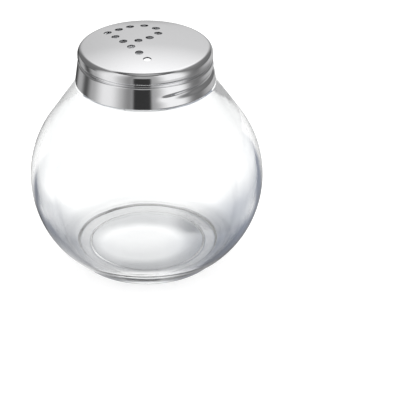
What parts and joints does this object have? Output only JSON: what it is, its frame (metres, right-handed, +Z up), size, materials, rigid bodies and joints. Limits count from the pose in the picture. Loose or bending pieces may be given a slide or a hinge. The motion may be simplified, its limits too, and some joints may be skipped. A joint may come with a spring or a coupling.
{
  "type": "glass table shaker with screw lid",
  "caption": "Globe-shaped clear glass shaker jar on a low foot ring, with a domed steel screw lid pierced with pour holes.",
  "frame": {"origin": "on the ground, at the centre of the jar's foot ring", "axes": "+Z up along the jar's own axis; -Y is the side from which the pierced letter leans to the left"},
  "size_m": [0.076, 0.076, 0.0763],
  "materials": {
    "clear_glass": "clear, polished",
    "polished_steel": "mirror polished stainless"
  },
  "bodies": {
    "jar": {"glass_jar": "clear_glass"},
    "lid": {"shaker_lid": "polished_steel"}
  },
  "joints": [
    {"name": "lid_lift", "type": "slide", "parent": "jar", "child": "lid", "axis": [0, 0, 1], "range_m": [0, 0.03]}
  ]
}
